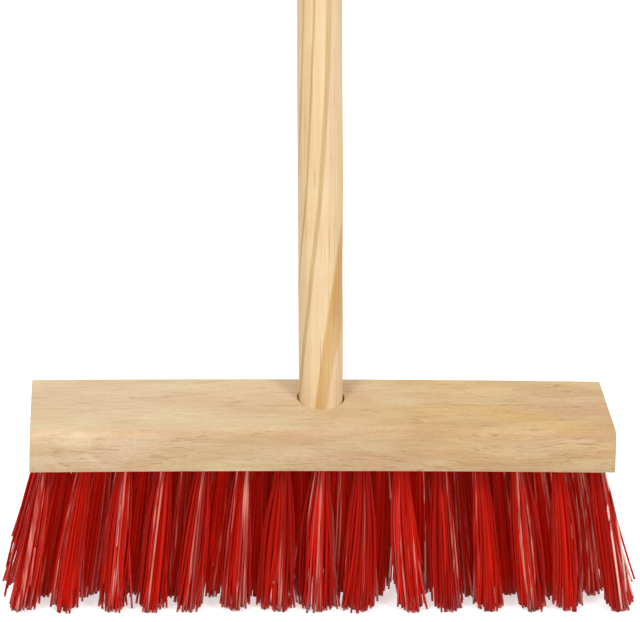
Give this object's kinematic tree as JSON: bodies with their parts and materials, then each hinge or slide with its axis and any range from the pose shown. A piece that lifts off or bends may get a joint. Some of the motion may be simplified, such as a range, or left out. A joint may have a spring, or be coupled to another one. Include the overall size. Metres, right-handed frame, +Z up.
{
  "type": "broom",
  "caption": "Stiff yard broom with a rectangular wooden block, a round wooden handle set in it at a slant, and rows of red plastic filament tufts.",
  "frame": {"origin": "centre of the outer box at floor level, with the broom standing on its tuft tips", "axes": "+Z up, +X along the block to the right as seen from the front, the front long face of the block faces -Y and the handle leans back towards +Y"},
  "size_m": [0.3824, 0.6438, 1.1551],
  "materials": {
    "block_wood": "bare planed hardwood, fine grain, satin",
    "handle_wood": "bare turned pine with slanting darker growth bands",
    "filament": "deep red extruded filament with a soft gloss",
    "zinc": "zinc-plated steel"
  },
  "bodies": {
    "root": {"block": "block_wood", "handle": "handle_wood", "handle_screw": "zinc", "tuft_row1_01": "filament", "tuft_row1_02": "filament", "tuft_row1_03": "filament", "tuft_row1_04": "filament", "tuft_row1_05": "filament", "tuft_row1_06": "filament", "tuft_row1_07": "filament", "tuft_row1_08": "filament", "tuft_row1_09": "filament", "tuft_row1_10": "filament", "tuft_row1_11": "filament", "tuft_row1_12": "filament", "tuft_row1_13": "filament", "tuft_row1_14": "filament", "tuft_row1_15": "filament", "tuft_row2_01": "filament", "tuft_row2_02": "filament", "tuft_row2_03": "filament", "tuft_row2_04": "filament", "tuft_row2_05": "filament", "tuft_row2_06": "filament", "tuft_row2_07": "filament", "tuft_row2_08": "filament", "tuft_row2_09": "filament", "tuft_row2_10": "filament", "tuft_row2_11": "filament", "tuft_row2_12": "filament", "tuft_row2_13": "filament", "tuft_row2_14": "filament", "tuft_row3_01": "filament", "tuft_row3_02": "filament", "tuft_row3_03": "filament", "tuft_row3_04": "filament", "tuft_row3_05": "filament", "tuft_row3_06": "filament", "tuft_row3_07": "filament", "tuft_row3_09": "filament", "tuft_row3_10": "filament", "tuft_row3_11": "filament", "tuft_row3_12": "filament", "tuft_row3_13": "filament", "tuft_row3_14": "filament", "tuft_row3_15": "filament", "tuft_row4_01": "filament", "tuft_row4_02": "filament", "tuft_row4_03": "filament", "tuft_row4_04": "filament", "tuft_row4_05": "filament", "tuft_row4_06": "filament", "tuft_row4_07": "filament", "tuft_row4_08": "filament", "tuft_row4_09": "filament", "tuft_row4_10": "filament", "tuft_row4_11": "filament", "tuft_row4_12": "filament", "tuft_row4_13": "filament", "tuft_row4_14": "filament"}
  },
  "joints": []
}
